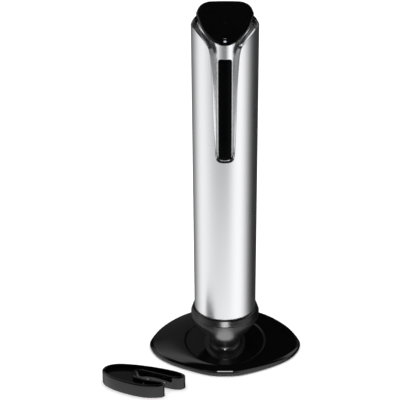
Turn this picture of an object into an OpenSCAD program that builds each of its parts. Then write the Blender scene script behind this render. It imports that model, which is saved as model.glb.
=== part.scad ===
// Electric wine opener standing in its charging stand, with its foil cutter beside it.
// Millimetres. The origin is where the opener's axis meets the surface it stands on.
// +Z is up, -Y is the front with the rocker switch, +X is the right side.

/* [Opener tube] */
// Outside diameter of the tube
tube_d = 50; // [49.5:0.1:50.5]
// Wall of the aluminium sleeve
sleeve_wall = 1.5; // [1.2:0.1:1.6]
// Height of the tube's flat top rim
rim_z = 282.2; // [281:0.1:284]
// Height of the cap's front tip
cap_tip_z = 273.3; // [272:0.1:275]
// Slope of the cap's face, in degrees from level
cap_slope = 23.3; // [22:0.1:25]
// Thickness of the cap's edge
lid_h = 0.9; // [0.8:0.1:1.2]

/* [Rocker switch] */
// Length of the rocker
rocker_len = 78.7; // [77:0.1:80]
// Width of the rocker
rocker_w = 9.7; // [9:0.1:10]
// Height of the rocker's pivot
rocker_z = 222.7; // [222:0.1:224]

/* [Bottle end] */
// Radius of the bore that takes the bottle's mouth
mouth_r = 15.8; // [15.5:0.1:16]
// Radius of the chamber that takes the cork
chamber_r = 13.4; // [13:0.1:13.6]
// Pitch of the corkscrew
worm_pitch = 9; // [8:0.5:10]
// Radius of the corkscrew's steel wire
worm_wire_r = 1.35; // [1.2:0.05:1.5]

/* [Gearbox] */
// Gear module
gear_m = 0.7; // [0.68:0.01:0.7]
// Teeth on each sun gear
sun_teeth = 12; // [12:1:12]
// Teeth on each planet gear
planet_teeth = 18; // [18:1:18]

/* [Stand] */
// Height of the plate's rim
rim_h = 4.6; // [4.2:0.1:5]
// Height of the flat ring that carries the pillar
ring_z = 8; // [7.8:0.1:8.4]
// Height of the docking cup's lip
cup_z = 43.6; // [43:0.1:44.5]
// Radius of the charging jack's bore
jack_r = 1.8; // [1.8:0.05:1.9]

/* [Foil cutter] */
// Height of the foil cutter
cutter_h = 11.5; // [11:0.1:12.5]
// Angle of the foil cutter on the table
cutter_turn = -15; // [-20:1:-10]

/* [Hidden] */

$fn = 96;
e = 0.01;            // overlap that keeps cuts clean
gap = 0.2;           // clearance between parts that slide past each other

tube_r = tube_d / 2;
sleeve_in_r = tube_r - sleeve_wall;
chassis_r = sleeve_in_r - 0.3;
chassis_wall = 1.7;

black = [0.03, 0.03, 0.035];
dark = [0.12, 0.12, 0.13];
silver = [0.78, 0.79, 0.8];
steel = [0.62, 0.63, 0.65];
brass = [0.8, 0.64, 0.3];
nylon = [0.88, 0.87, 0.82];
green = [0.05, 0.35, 0.18];

// ---------- curves ----------

// Point at t between b and c on a smooth curve through a, b, c and d
function catmull(a, b, c, d, t) =
    0.5 * (2 * b + (c - a) * t + (2 * a - 5 * b + 4 * c - d) * t * t
    + (3 * b - a - 3 * c + d) * t * t * t);

// Closed smooth curve through the points p, with n steps between neighbours
function closed_curve(p, n) =
    let (k = len(p))
    [for (i = [0:k - 1]) for (j = [0:n - 1])
        catmull(p[(i + k - 1) % k], p[i], p[(i + 1) % k], p[(i + 2) % k], j / n)];

// Both halves of an outline given by its right half, front to back
function mirrored(half) =
    concat(half, [for (i = [len(half) - 2:-1:1]) [-half[i][0], half[i][1]]]);

function oval(a, b, n) = [for (i = [0:n - 1]) [a * cos(360 * i / n - 90), b * sin(360 * i / n - 90)]];

function lift(outline, z) = [for (p = outline) [p[0], p[1], z]];

function lerp(a, b, t) = a + (b - a) * t;

// Closed solid through rings of equal length; looped joins the last ring to the first
module loft(rings, looped = false) {
    n = len(rings[0]);
    m = len(rings);
    last = looped ? m - 1 : m - 2;
    sides = [for (i = [0:last]) for (j = [0:n - 1])
        let (a = i * n + j, b = i * n + (j + 1) % n,
            c = ((i + 1) % m) * n + (j + 1) % n, d = ((i + 1) % m) * n + j)
        each [[a, c, b], [a, d, c]]];
    ends = looped ? [] : [
        [for (j = [0:n - 1]) j],
        [for (j = [n - 1:-1:0]) (m - 1) * n + j]
    ];
    polyhedron(points = [for (r = rings) each r], faces = concat(sides, ends), convexity = 8);
}

// One ring of a round wire that winds about Z: centre radius r, angle a, height z
function wire_ring(r, wire, a, z, slope, sides) =
    let (out = [cos(a), sin(a), 0],
        along = [-sin(a) * cos(slope), cos(a) * cos(slope), sin(slope)],
        up = cross(along, out))
    [for (k = [0:sides - 1]) let (w = 360 * k / sides)
        r * out + [0, 0, z] + wire * (cos(w) * out + sin(w) * up)];

module ring_z_span(r_out, r_in, z0, z1) {
    translate([0, 0, z0])
        difference() {
            cylinder(r = r_out, h = z1 - z0);
            translate([0, 0, -1]) cylinder(r = r_in, h = z1 - z0 + 2);
        }
}

module rod(r, z0, z1) {
    translate([0, 0, z0]) cylinder(r = r, h = z1 - z0);
}

module box_span(x, y, z) {
    translate([x[0], y[0], z[0]]) cube([x[1] - x[0], y[1] - y[0], z[1] - z[0]]);
}

module rod_y(r, x, z, y0, y1) {
    translate([x, y0, z]) rotate([-90, 0, 0]) cylinder(r = r, h = y1 - y0);
}

module rod_x(r, y, z, x0, x1) {
    translate([x0, y, z]) rotate([0, 90, 0]) cylinder(r = r, h = x1 - x0);
}

// ---------- stand ----------

plate_half = [[0, -40.5], [15.5, -38.3], [38.5, -27.5], [54.5, -15.2], [62.6, 0],
    [61.5, 12], [53, 29.8], [38, 46.3], [20, 56.5], [0, 59.8]];
plate_keys = mirrored(plate_half);
plate_outline = closed_curve(plate_keys, 4);
ring_outline = [for (i = [0:len(plate_outline) - 1])
    let (p = plate_outline[i], a = atan2(p[1], p[0])) [33.5 * cos(a), 1.5 + 37 * sin(a)]];
foot_outline = [for (i = [0:len(plate_outline) - 1])
    let (p = plate_outline[i], a = atan2(p[1], p[0])) [11 * cos(a), 16.6 * sin(a)]];

function between(a, b, t, z) =
    [for (i = [0:len(a) - 1]) [lerp(a[i][0], b[i][0], t), lerp(a[i][1], b[i][1], t), z]];

// Height of the shell's skin at t, from 0 at the rim to 1 at the ring
function dome(t) = rim_h + (ring_z + 0.6 - rim_h) * sin(90 * t);

cover_scale = 0.93;
pad_scale = 0.88;
pad_h = 1.2;
cover_h = 1.6;
shell_wall = 2;
post_spots = [[44, 8], [-44, 8], [24, 40], [-24, 40], [0, -31]];

module stand_screw(x, y, z0, len_mm) {
    translate([x, y, z0]) {
        cylinder(r = 2.4, h = 1);
        cylinder(r = 1.1, h = len_mm);
    }
}

module stand_shell() {
    skin = [
        between(plate_outline, ring_outline, 0.03, 0.6),
        between(plate_outline, ring_outline, 0, 1.2),
        between(plate_outline, ring_outline, 0, rim_h - 1.2),
        between(plate_outline, ring_outline, 0.015, rim_h - 0.4),
        between(plate_outline, ring_outline, 0.06, dome(0.06)),
        between(plate_outline, ring_outline, 0.3, dome(0.3)),
        between(plate_outline, ring_outline, 0.65, dome(0.65)),
        between(plate_outline, ring_outline, 1, ring_z + 0.6),
        between(ring_outline, foot_outline, 0.03, ring_z),
        between(ring_outline, foot_outline, 1, ring_z),
        between(ring_outline, foot_outline, 1, ring_z - shell_wall),
        between(ring_outline, foot_outline, 0.02, ring_z - shell_wall),
        between(plate_outline, ring_outline, 0.65, dome(0.65) - shell_wall),
        between(plate_outline, ring_outline, 0.3, dome(0.3) - shell_wall),
        between(plate_outline, ring_outline, 0.12, dome(0.06) - shell_wall),
        between(plate_outline, ring_outline, 0.1, 0.6)
    ];
    color(black) {
        loft(skin, true);
        for (p = post_spots)
            translate([p[0], p[1], 0])
                ring_z_span(2.6, 1.1, pad_h + cover_h, 6.2);
    }
}

// Half width and half depth of the pillar at each height
pillar_rows = [[8, 13.4, 20.6], [8.6, 12.2, 18.4], [9.6, 11.6, 17.2], [12, 12, 17], [15, 13.6, 17.8],
    [19, 16.2, 19.6], [23, 19.4, 21.6], [27.7, 23.2, 24.2], [31.5, 26, 26.4], [34.6, 27.6, 27.6], [38, 27.9, 27.9]];

// Wall of the pillar at height z: thick at the foot, thin round the cup
function pillar_wall(z) = z < 9 ? 2.9 : z < 33 ? 1.7 : 1.1;

module stand_pillar() {
    n = 64;
    outside = [for (r = pillar_rows) lift(oval(r[1], r[2], n), r[0])];
    inside = [for (i = [len(pillar_rows) - 1:-1:0])
        let (r = pillar_rows[i], wall = pillar_wall(r[0]))
        lift(oval(r[1] - wall, r[2] - wall, n), r[0])];
    color(black)
        difference() {
            loft(concat(outside, inside), true);
            rod_y(1.6, 0, 10.2, -22, -12);
            rod_y(3.4, 0, 12.6, 10, 22);
        }
}

cup_in_r = tube_r + 0.4;
cup_floor = 34.9;

module docking_cup() {
    color(black)
        difference() {
            rotate_extrude()
                polygon([[0, cup_floor - 2.2], [24.4, cup_floor - 2.2], [25.2, 33.8], [26.2, 35.4], [26.2, 38],
                    [27.2, 38], [27.2, 38.6], [27.9, 38.6], [27.3, 40.4], [26.6, 42.4], [26.3, 43.3], [25.9, cup_z],
                    [cup_in_r, 43.2], [cup_in_r, cup_floor], [0, cup_floor]]);
            for (x = [-pin_x_left, pin_x_right])
                translate([x, 0, 0]) rod(pin_r + 0.08, 30, 36);
        }
}

module scaled_plate(k, z0, h) {
    translate([0, 0, z0])
        linear_extrude(height = h)
            polygon([for (p = plate_outline) [p[0] * k, (p[1] - 6) * k + 6]]);
}

module stand_cover() {
    color(dark)
        difference() {
            scaled_plate(cover_scale, pad_h, cover_h);
            for (p = post_spots) translate([p[0], p[1], 0]) rod(1.3, 0, 5);
            for (p = post_spots) translate([p[0], p[1], 0]) rod(2.6, 0, pad_h + 1);
        }
}

module antislip_pad() {
    color(dark)
        difference() {
            scaled_plate(pad_scale, 0, pad_h);
            for (p = post_spots) translate([p[0], p[1], 0]) rod(3.2, -1, 5);
        }
}

module ballast_plate() {
    color(steel)
        difference() {
            scaled_plate(0.72, pad_h + cover_h, 2);
            for (p = post_spots) translate([p[0], p[1], 0]) rod(3.2, 0, 6);
            translate([0, 0, 2]) linear_extrude(height = 4) polygon(oval(12.5, 18, 48));
        }
}

module stand_screws() {
    color(steel)
        for (p = post_spots) stand_screw(p[0], p[1], pad_h, 4.2);
}

board_z = 6.4;

module charge_board() {
    color(green)
        difference() {
            translate([0, 0, board_z])
                linear_extrude(height = 1.2)
                    intersection() {
                        polygon(oval(10.2, 15.4, 48));
                        square([17, 40], center = true);
                    }
        }
    color(dark) box_span([-3, 3], [-8, -3], [board_z + 1.2, board_z + 2.4]);
    color(nylon) box_span([-6, 6], [3, 6.5], [board_z + 1.2, board_z + 4]);
}

module charge_led() {
    color([0.7, 0.85, 1]) {
        rod_y(1.5, 0, 10.2, -16.2, -12.6);
        translate([0, -16.2, 10.2]) sphere(r = 1.5, $fn = 32);
        box_span([-1.5, 1.5], [-12.8, -11.6], [board_z + 1.2, 10.2]);
    }
}

jack_z = 12.6;

module dc_inlet() {
    color(dark)
        difference() {
            union() {
                box_span([-4, 4], [7.2, 13.2], [board_z + 1.2, jack_z + 3.6]);
                rod_y(3.2, 0, jack_z, 13, 17.4);
            }
            rod_y(jack_r, 0, jack_z, 8.4, 18);
        }
}

pin_x_left = 17.2;
pin_x_right = 19.6;
pin_r = 0.9;
spring_z = 28.4;
opener_z = 35.1;

module contact_board() {
    color(green) rod(20.8, 27.2, spring_z);
    color(nylon) box_span([-5, 5], [-6, 6], [spring_z, spring_z + 2.6]);
}

module contact_pin(x) {
    color(brass)
        translate([x, 0, 0]) {
            rod(pin_r, 31.4, opener_z - 0.1);
            rod(1.4, 31, 31.7);
        }
}

module contact_pin_left() { contact_pin(-pin_x_left); }

module contact_pin_right() { contact_pin(pin_x_right); }

// Compression spring about Z
module coil(r, wire, z0, z1, turns, per_turn, sides) {
    n = turns * per_turn;
    rise = z1 - z0 - 2 * wire;
    slope = atan(rise / turns / (2 * PI * r));
    loft([for (i = [0:n]) wire_ring(r, wire, 360 * i / per_turn, z0 + wire + rise * i / n, slope, sides)]);
}

module contact_spring(x) {
    color(steel) translate([x, 0, 0]) coil(1, 0.16, spring_z + 0.02, 30.98, 5, 12, 6);
}

module contact_spring_left() { contact_spring(-pin_x_left); }

module contact_spring_right() { contact_spring(pin_x_right); }

// ---------- opener shell ----------

cap_half = [[0, -23.8], [7.5, -20.4], [16.3, -8.4], [20.9, 7.2], [19.2, 12.6], [14, 17.2],
    [7.5, 20.3], [0, 21]];
cap_outline = closed_curve(mirrored(cap_half), 4);

// Half space below a plane that slopes up towards the back through y0, z0
module below_slope(y0, z0, angle) {
    translate([0, y0, z0]) rotate([angle, 0, 0]) translate([-60, -90, -200]) cube([120, 180, 200]);
}

module below_face(drop) {
    below_slope(-23.8, cap_tip_z - drop, cap_slope);
}

// Prism on the cap's outline, grown by about d all round
module cap_prism(z0, d) {
    k = 1 + d / 22;
    translate([0, 0, z0])
        linear_extrude(height = 310 - z0)
            polygon([for (p = cap_outline) [p[0] * k, (p[1] + 1.4) * k - 1.4]]);
}

// Side of the V cut across the tube's front: its dip, its turn about Z and its height on the axis
v_dip = 35.3;
v_turn = 14.3;
v_z = rim_z - 14.4;
v_back = 5;

// Half space below one side of the V cut, lowered by d
module below_v(d) {
    translate([0, 0, v_z - d])
        rotate([0, 0, v_turn])
            rotate([0, -v_dip, 0])
                translate([-80, -80, -200]) cube([160, 160, 200]);
}

// Outer form of the tube's top, down to z0 and set in by d
module crown(z0, d) {
    intersection() {
        rod(tube_r - d, z0, rim_z - d);
        union() {
            difference() {
                union() {
                    below_v(d * 1.4);
                    mirror([1, 0, 0]) below_v(d * 1.4);
                    box_span([-30, 30], [v_back, 30], [z0 - 1, rim_z + 1]);
                }
                cap_prism(z0 - 1, d);
            }
            intersection() {
                below_face(lid_h + d * 3);
                cap_prism(z0, d);
            }
        }
    }
}

channel_top = 268.6;
channel_bottom = 181.4;

// Half width of the channel down the tube's front at height z
function channel_half(z) =
    let (s = (z - channel_bottom - 4) / (channel_top - channel_bottom - 4))
    7.6 + 2.4 * s + 1.7 * pow(s, 6);

channel_right = [for (i = [0:8]) let (z = lerp(channel_bottom + 4, channel_top, i / 8)) [channel_half(z), z]];
channel_points = concat(
    [[3.9, channel_bottom], [6.2, channel_bottom + 0.9], [7.5, channel_bottom + 2.4]],
    channel_right, [[12.4, channel_top + 2.4], [23.4, rim_z], [30, rim_z + 6.6]]);

// Prism through the tube's front wall on the outline of the channel, set in by d
module channel_prism(d) {
    right = [for (p = channel_points) [p[0] - d, p[1] + (p[1] < channel_bottom + 1 ? d : 0)]];
    rotate([90, 0, 0])
        linear_extrude(height = 60)
            polygon(concat(right, [for (i = [len(right) - 1:-1:0]) [-right[i][0], right[i][1]]]));
}

seat_z = rim_z - 1.2;
collar_top = 36.7;

module outer_sleeve() {
    color(silver)
        difference() {
            ring_z_span(tube_r, sleeve_in_r, collar_top, seat_z);
            channel_prism(0);
        }
}

panel_y = -22.4;
pocket_y = -21.3;
panel_back = -19.9;

module rocker_pocket(d, y0, y1) {
    half = rocker_len / 2 + d - 2;
    for (s = [-1, 1]) for (t = [-1, 1])
        rod_y(2, s * (rocker_w / 2 + d - 2), rocker_z + t * half, y0, y1);
    box_span([-rocker_w / 2 - d, rocker_w / 2 + d], [y0, y1], [rocker_z - half, rocker_z + half]);
    box_span([-rocker_w / 2 - d + 2, rocker_w / 2 + d - 2], [y0, y1], [rocker_z - half - 2, rocker_z + half + 2]);
}

rib_z = 30;
pivot_y = -20.2;

module front_bezel() {
    color(silver) {
        difference() {
            union() {
                difference() {
                    crown(seat_z - 18, 0);
                    crown(seat_z - 20, 2.2);
                    translate([0, 0, seat_z - 20])
                        ring_z_span(40, sleeve_in_r - 0.1, 0, 20);
                }
                intersection() {
                    channel_prism(0.1);
                    crown(channel_bottom - 1, 0);
                    box_span([-30, 30], [-30, panel_back], [170, 290]);
                }
            }
            intersection() {
                box_span([-8, 8], [-30, panel_y], [channel_bottom + 1.6, 268]);
                rod(40, 100, 300);
            }
            rocker_pocket(0.4, -30, pocket_y);
            rod_x(1, pivot_y, rocker_z, -5.7, 5.7);
            box_span([-3.4, 3.4], [-30, -15], [rocker_z - 4, rocker_z + 4]);
            for (t = [-1, 1])
                box_span([-2.2, 2.2], [-30, -15], [rocker_z + t * rib_z - 2.2, rocker_z + t * rib_z + 2.2]);
            lens_bore(1.1);
        }
        for (s = [-1, 1])
            difference() {
                box_span([s * 4.6 - 1, s * 4.6 + 1], [pocket_y + 0.6, -18], [rocker_z - 2.6, rocker_z + 2.6]);
                rod_x(1, pivot_y, rocker_z, -10, 10);
            }
    }
}

lens_y = -20.4;

module lens_bore(r) {
    translate([0, lens_y, cap_tip_z + 1.5]) rotate([cap_slope, 0, 0]) translate([0, 0, -8]) cylinder(r = r, h = 14);
}

module top_cap() {
    color(black)
        difference() {
            intersection() {
                cap_prism(262, 0);
                below_face(0);
            }
            intersection() {
                below_face(lid_h);
                rod(tube_r, 200, rim_z);
            }
            intersection() {
                cap_prism(rim_z - 1, -2.4);
                below_face(2.4);
            }
            lens_bore(1.1);
        }
}

module indicator_lens() {
    color([0.75, 0.85, 1])
        intersection() {
            lens_bore(1.05);
            below_face(0);
        }
}

module status_led() {
    color([0.8, 0.85, 0.9])
        translate([0, -15.4, 262.2]) {
            translate([-1.6, -1.4, 0]) cube([3.2, 2.8, 1.4]);
            cylinder(r = 1.3, h = 3.4);
        }
}

board_front = -16;

module main_board() {
    color(green) box_span([-8, 8], [board_front, board_front + 1.2], [184, 262.2]);
    color(dark) {
        box_span([-3.5, 3.5], [board_front - 1.4, board_front], [206, 214]);
        box_span([-2.5, 2.5], [board_front - 1.2, board_front], [232, 238]);
    }
    color(nylon) box_span([-5, 5], [board_front - 2.4, board_front], [185, 189]);
}

module tact_switches() {
    color(dark)
        for (t = [-1, 1])
            difference() {
                box_span([-3, 3], [board_front - 2.4, board_front], [rocker_z + t * rib_z - 3, rocker_z + t * rib_z + 3]);
                rod_y(1.62, 0, rocker_z + t * rib_z, board_front - 3, board_front - 1.2);
            }
}

module plunger(t) {
    color(nylon) rod_y(1.55, 0, rocker_z + t * rib_z, board_front - 3.4, board_front - 1.6);
}

module plunger_up() { plunger(1); }

module plunger_down() { plunger(-1); }

module rocker_switch() {
    color(black)
        difference() {
            union() {
                rocker_pocket(0, -24, -22.5);
                rod_x(2.1, pivot_y, rocker_z, -2.8, 2.8);
                box_span([-2.8, 2.8], [-22.8, pivot_y], [rocker_z - 2.1, rocker_z + 2.1]);
                for (t = [-1, 1])
                    box_span([-1.2, 1.2], [-22.8, -20.3], [rocker_z + t * rib_z - 1.2, rocker_z + t * rib_z + 1.2]);
            }
            rod_x(1.06, pivot_y, rocker_z, -10, 10);
        }
}

module rocker_pin() {
    color(steel) rod_x(1, pivot_y, rocker_z, -5.6, 5.6);
}

// ---------- opener chassis and batteries ----------

chassis_bottom = 62.4;
chassis_top = 262;
screw_z = [78, 110, 180, 232];
screw_y = 18.8;

module chassis_solid() {
    difference() {
        union() {
            ring_z_span(chassis_r, chassis_r - chassis_wall, chassis_bottom, chassis_top);
            ring_z_span(chassis_r - 1, 15.4, 70, 72);
            ring_z_span(chassis_r - 1, 9.8, 132.4, 134.9);
            ring_z_span(chassis_r - 1, 14.2, motor_z + 0.1, motor_z + 2.2);
            ring_z_span(chassis_r - 1, 14.2, 192, 194.5);
            for (z = screw_z)
                intersection() {
                    rod_x(2.4, screw_y, z, -7, 7);
                    rod(chassis_r, 0, 300);
                }
        }
        box_span([-12.4, 12.4], [-30, -13.6], [177, 290]);
        for (z = screw_z) rod_x(1.05, screw_y, z, -20, 20);
        for (z = screw_z) rod_x(2.1, screw_y, z, 5.2, 20);
    }
}

module chassis_left() {
    color(dark)
        intersection() {
            chassis_solid();
            box_span([-30, -0.02], [-30, 30], [0, 300]);
        }
}

module chassis_right() {
    color(dark)
        intersection() {
            chassis_solid();
            box_span([0.02, 30], [-30, 30], [0, 300]);
        }
}

module chassis_screws() {
    color(steel)
        for (z = screw_z) {
            rod_x(1, screw_y, z, -6, 5.4);
            rod_x(1.9, screw_y, z, 5.2, 6.4);
        }
}

cell_r = 7.1;
cell_pitch = 7.6;
cell_shift = 1.2;
cell_z = 206.5;
cell_len = 50;

module at_cells() {
    for (sx = [-1, 1]) for (sy = [-1, 1])
        translate([sx * cell_pitch, cell_shift + sy * cell_pitch, 0]) children();
}

module battery_cells() {
    color([0.2, 0.35, 0.6])
        at_cells() {
            rod(cell_r, cell_z, cell_z + cell_len - 1.4);
            rod(2.6, cell_z + 10, cell_z + cell_len);
        }
}

module battery_tray(z0, z1) {
    difference() {
        rod(21.2, z0, z1);
        box_span([-12.4, 12.4], [-30, -13.6], [z0 - 1, z1 + 1]);
        at_cells() rod(3.4, z0 - 1, z1 + 1);
        box_span([-4, 4], [16.2, 30], [z0 - 1, z1 + 1]);
    }
}

module battery_holder() {
    color(dark) {
        battery_tray(cell_z - 3.4, cell_z - 0.3);
        battery_tray(cell_z + cell_len + 0.3, cell_z + cell_len + 2.6);
        box_span([-0.35, 0.35], [-12.5, 14.5], [cell_z - 1, cell_z + cell_len + 1]);
    }
}

module battery_tabs() {
    color(steel) {
        for (s = [-1, 1])
            box_span([-10, -0.5], [cell_shift + s * cell_pitch - 2.5, cell_shift + s * cell_pitch + 2.5],
                [cell_z - 0.3, cell_z]);
        for (s = [-1, 1])
            box_span([0.5, 10], [cell_shift + s * cell_pitch - 2.5, cell_shift + s * cell_pitch + 2.5],
                [cell_z - 0.3, cell_z]);
        for (s = [-1, 1])
            box_span([s * cell_pitch - 2.5, s * cell_pitch + 2.5], [-9, 11.4],
                [cell_z + cell_len, cell_z + cell_len + 0.3]);
    }
}

// ---------- motor and gearbox ----------

pressure_angle = 25;
addendum = 0.9;
dedendum = 1.1;
backlash = 0.05;
ring_teeth = sun_teeth + 2 * planet_teeth;
orbit_r = gear_m * (sun_teeth + planet_teeth) / 2;
ring_r = gear_m * ring_teeth / 2;

// Involute function, in degrees
function inv(a) = tan(a) * 180 / PI - a;

// Outline of a gear whose teeth are thinned by slack on each flank
function gear_points(teeth, add, ded, slack, steps) =
    let (rp = gear_m * teeth / 2, rb = rp * cos(pressure_angle), ra = rp + add * gear_m,
        rr = rp - ded * gear_m, rs = max(rr, rb),
        base_half = 90 / teeth - slack / rp * 180 / PI + inv(pressure_angle))
    [for (i = [0:teeth - 1]) let (c = 360 * i / teeth) each concat(
        rb > rr + e ? [polar(rr, c - base_half)] : [],
        [for (k = [0:steps]) let (r = lerp(rs, ra, k / steps)) polar(r, c - base_half + inv(acos(min(1, rb / r))))],
        [for (k = [steps:-1:0]) let (r = lerp(rs, ra, k / steps)) polar(r, c + base_half - inv(acos(min(1, rb / r))))],
        rb > rr + e ? [polar(rr, c + base_half)] : [])];

function polar(r, a) = [r * cos(a), r * sin(a)];

module gear(teeth, z0, z1, bore) {
    translate([0, 0, z0])
        difference() {
            linear_extrude(height = z1 - z0) polygon(gear_points(teeth, addendum, dedendum, backlash / 2, 3));
            translate([0, 0, -1]) cylinder(r = bore, h = z1 - z0 + 2);
        }
}

stage_two_z = 142;
stage_one_z = 152.4;
face_w = 6;
planet_pin_r = 1.5;

module at_planet(k) {
    rotate([0, 0, 120 * (k - 1)]) translate([orbit_r, 0, 0]) children();
}

module planet(k, z) {
    color(nylon) at_planet(k) rotate([0, 0, 10]) gear(planet_teeth, z, z + face_w, planet_pin_r + 0.05);
}

module stage_one_planet_1() { planet(1, stage_one_z); }

module stage_one_planet_2() { planet(2, stage_one_z); }

module stage_one_planet_3() { planet(3, stage_one_z); }

module stage_two_planet_1() { planet(1, stage_two_z); }

module stage_two_planet_2() { planet(2, stage_two_z); }

module stage_two_planet_3() { planet(3, stage_two_z); }

module planet_pins(z0, z1) {
    for (k = [1:3]) at_planet(k) rod(planet_pin_r, z0, z1);
}

module stage_one_carrier() {
    color(steel) {
        rod(15.2, stage_one_z - 3.2, stage_one_z - 0.6);
        planet_pins(stage_one_z - 1, stage_one_z + face_w + 0.3);
        gear(sun_teeth, stage_two_z + 0.1, stage_one_z - 3, 0.6);
    }
}

spindle_r = 5;
shank_r = 2.8;

module output_carrier() {
    color(steel)
        difference() {
            union() {
                rod(15.2, 138.6, stage_two_z - 0.6);
                rod(spindle_r, 126.6, 139);
                planet_pins(stage_two_z - 1, stage_two_z + face_w + 0.3);
            }
            rod(shank_r, 120, 136);
        }
}

module spindle_bush() {
    color(brass) ring_z_span(7, spindle_r + 0.05, 128, 136.4);
}

module gear_housing() {
    color(nylon)
        difference() {
            union() {
                rod(20.6, 135, 160.4);
                rod(9.4, 127, 136);
            }
            rod(7, 127.9, 136.4);
            rod(5.6, 120, 140);
            rod(17.8, 137.8, 141.7);
            translate([0, 0, 141.6])
                rotate([0, 0, 180 / ring_teeth])
                    linear_extrude(height = 20)
                        polygon(gear_points(ring_teeth, dedendum, addendum, -backlash / 2, 3));
        }
}

motor_z = 163;
motor_len = 37;
motor_r = 13.9;
shaft_r = 1.15;

module gear_cover() {
    color(nylon)
        difference() {
            rod(20.6, 160.4, motor_z);
            rod(5.4, 150, 170);
            for (s = [-1, 1]) translate([s * 8, 0, 0]) rod(1.3, 150, 170);
        }
}

module motor_can() {
    color(steel)
        difference() {
            union() {
                rod(motor_r, motor_z, motor_z + motor_len);
                rod(4.8, motor_z - 2, motor_z + 1);
            }
            rod(motor_r - 0.9, motor_z + 1, motor_z + motor_len + 1);
            rod(shaft_r + 0.06, 150, 180);
        }
}

module motor_cap() {
    color(dark)
        difference() {
            union() {
                rod(motor_r - 0.95, motor_z + motor_len - 3, motor_z + motor_len);
                rod(4.8, motor_z + motor_len - 1, motor_z + motor_len + 2);
            }
            rod(shaft_r + 0.06, motor_z, motor_z + motor_len + 1.2);
        }
}

module motor_shaft() {
    color(steel) rod(shaft_r, stage_one_z + 0.3, motor_z + motor_len + 0.8);
}

module motor_armature() {
    slots = 3;
    color([0.7, 0.4, 0.2])
        difference() {
            rod(9.6, motor_z + 6, motor_z + motor_len - 8);
            rod(shaft_r, motor_z, motor_z + motor_len);
            for (k = [0:slots - 1])
                rotate([0, 0, 360 * k / slots])
                    box_span([5, 12], [-1.1, 1.1], [motor_z, motor_z + motor_len]);
        }
    color(brass)
        ring_z_span(3.2, shaft_r, motor_z + motor_len - 8, motor_z + motor_len - 4);
}

module motor_pinion() {
    color(brass) gear(sun_teeth, stage_one_z + 0.2, stage_one_z + 8.2, shaft_r);
}

// ---------- corkscrew and bottle end ----------

worm_tip = 64;
worm_turns = 6.5;
worm_r = 3;

worm_top = worm_tip + worm_pitch * worm_turns;

// Wire radius of the corkscrew at turn t from its tip
function worm_wire(t) = worm_wire_r * min(1, 0.12 + t / 0.8);

module corkscrew() {
    per_turn = 20;
    n = worm_turns * per_turn;
    slope = atan(worm_pitch / (2 * PI * worm_r));
    color(steel) {
        loft([for (i = [0:n]) let (t = i / per_turn)
            wire_ring(worm_r, worm_wire(t), 360 * t, worm_tip + worm_pitch * t, slope, 8)]);
        rod(worm_r + worm_wire_r + 0.3, worm_top - 2, 126.4);
        rod(shank_r - 0.02, worm_top - 2, 135.6);
    }
}

module cork_chamber() {
    color(dark) {
        ring_z_span(15.2, chamber_r, 62.1, 126.4);
        ring_z_span(21, 15.1, 123.9, 126.4);
        for (a = [45:90:315])
            rotate([0, 0, a]) box_span([12.6, chamber_r + 0.3], [-0.7, 0.7], [70, 122]);
    }
}

mouth_top = 58.1;
stop_top = 60;

module bottle_collar() {
    color(dark)
        difference() {
            rotate_extrude()
                polygon([[mouth_r, opener_z], [tube_r - 0.4, opener_z], [tube_r - 0.2, opener_z + 0.2],
                    [tube_r - 0.2, collar_top], [sleeve_in_r - 0.1, collar_top], [sleeve_in_r - 0.1, 61.8],
                    [sleeve_in_r - 1.8, 61.8], [sleeve_in_r - 1.8, 38.4], [mouth_r + 1.8, 38.4],
                    [mouth_r + 1.8, 62], [chamber_r, 62], [chamber_r, stop_top], [mouth_r + 0.4, stop_top],
                    [mouth_r + 0.4, mouth_top], [mouth_r, mouth_top]]);
            ring_z_span(18, 16.6, opener_z - 1, opener_z + 0.8);
            ring_z_span(20.4, 18.8, opener_z - 1, opener_z + 0.8);
        }
}

module stop_ring() {
    color(dark) ring_z_span(mouth_r + 0.38, chamber_r + 0.2, mouth_top + 0.5, stop_top);
}

module contact_rings() {
    color(brass) {
        ring_z_span(18, 16.6, opener_z, opener_z + 0.8);
        ring_z_span(20.4, 18.8, opener_z, opener_z + 0.8);
    }
}

// ---------- foil cutter ----------

cutter_at = [-65, -56];
cutter_keys = [[-34.4, 1.6], [-31, 8.6], [-20.7, 13], [-1, 15], [18.6, 14.4], [29, 12.4], [32.2, 9.4],
    [29.4, 5.6], [22.7, 4.5], [12.6, 5.6], [1, 6.8], [-5.5, 7], [-7.6, 4], [-5, -0.6], [3.5, -3], [12, -2.8],
    [18, -3.2], [19.6, -6], [16.5, -9], [6, -11.8], [-6, -11.6], [-20.5, -8.9], [-30.5, -4.4]];
cutter_outline = closed_curve(cutter_keys, 4);
cutter_wall = 1.6;
cutter_top = 3.4;
wheel_r = 3.2;
wheel_spots = [[3, 9], [17, 7.6], [2.4, -5.5], [12, -5.2]];
wheel_z = 4.2;
wheel_w = 1;
wheel_pin_r = 1;
hub_r = 2.3;

// A clockwise outline set in by d
function inset(p, d) =
    let (k = len(p))
    [for (i = [0:k - 1]) let (t = p[(i + 1) % k] - p[(i + k - 1) % k])
        p[i] + [t[1], -t[0]] * (d / norm(t))];

module at_cutter() {
    translate([cutter_at[0], cutter_at[1], 0]) rotate([0, 0, cutter_turn]) children();
}

module at_wheel(k) {
    at_cutter() translate([wheel_spots[k][0], wheel_spots[k][1], 0]) children();
}

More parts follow.
